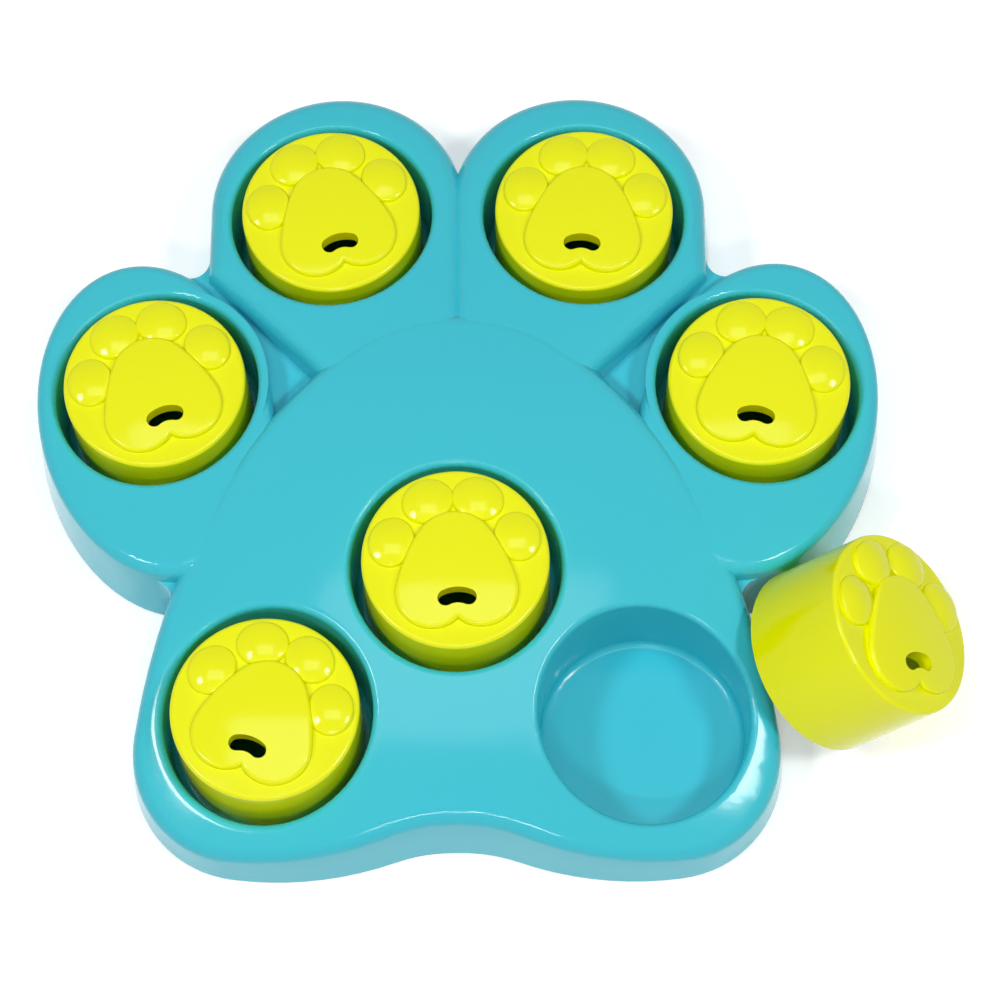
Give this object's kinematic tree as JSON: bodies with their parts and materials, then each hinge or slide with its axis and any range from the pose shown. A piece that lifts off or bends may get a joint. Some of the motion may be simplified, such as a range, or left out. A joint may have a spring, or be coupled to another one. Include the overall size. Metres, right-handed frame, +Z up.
{
  "type": "dog puzzle feeder toy",
  "caption": "Paw-shaped dog puzzle feeder: a glossy teal tray with round wells, and lime lift-out caps with a raised paw and a bean-shaped hole. One cap lies beside it.",
  "frame": {"origin": "on the table, in the tray's plane of symmetry: the middle of the middle foot's underside", "axes": "+Y towards the toes of the paw, +Z up from the table, +X to the side where the loose cap lies"},
  "size_m": [0.3217, 0.2866, 0.0698],
  "materials": {
    "tray_plastic": "glossy",
    "cap_plastic": "glossy",
    "foot_rubber": "matt"
  },
  "bodies": {
    "tray": {"tray": "tray_plastic", "foot_1": "foot_rubber", "foot_2": "foot_rubber", "foot_3": "foot_rubber", "foot_4": "foot_rubber", "foot_5": "foot_rubber", "foot_6": "foot_rubber", "foot_7": "foot_rubber"},
    "cap_upper_left": {"lid_upper_left": "cap_plastic"},
    "cap_upper_right": {"lid_upper_right": "cap_plastic"},
    "cap_outer_left": {"lid_outer_left": "cap_plastic"},
    "cap_outer_right": {"lid_outer_right": "cap_plastic"},
    "cap_middle": {"lid_middle": "cap_plastic"},
    "cap_heel_left": {"lid_heel_left": "cap_plastic"},
    "cap_loose": {"lid_loose": "cap_plastic"}
  },
  "joints": [
    {"name": "lift_upper_left", "type": "slide", "parent": "tray", "child": "cap_upper_left", "axis": [0, 0, 1], "range_m": [0, 0.06]},
    {"name": "lift_upper_right", "type": "slide", "parent": "tray", "child": "cap_upper_right", "axis": [0, 0, 1], "range_m": [0, 0.06]},
    {"name": "lift_outer_left", "type": "slide", "parent": "tray", "child": "cap_outer_left", "axis": [0, 0, 1], "range_m": [0, 0.06]},
    {"name": "lift_outer_right", "type": "slide", "parent": "tray", "child": "cap_outer_right", "axis": [0, 0, 1], "range_m": [0, 0.06]},
    {"name": "lift_middle", "type": "slide", "parent": "tray", "child": "cap_middle", "axis": [0, 0, 1], "range_m": [0, 0.06]},
    {"name": "lift_heel_left", "type": "slide", "parent": "tray", "child": "cap_heel_left", "axis": [0, 0, 1], "range_m": [0, 0.06]},
    {"name": "lift_loose", "type": "slide", "parent": "tray", "child": "cap_loose", "axis": [0, 0, 1], "range_m": [0, 0.06]}
  ]
}
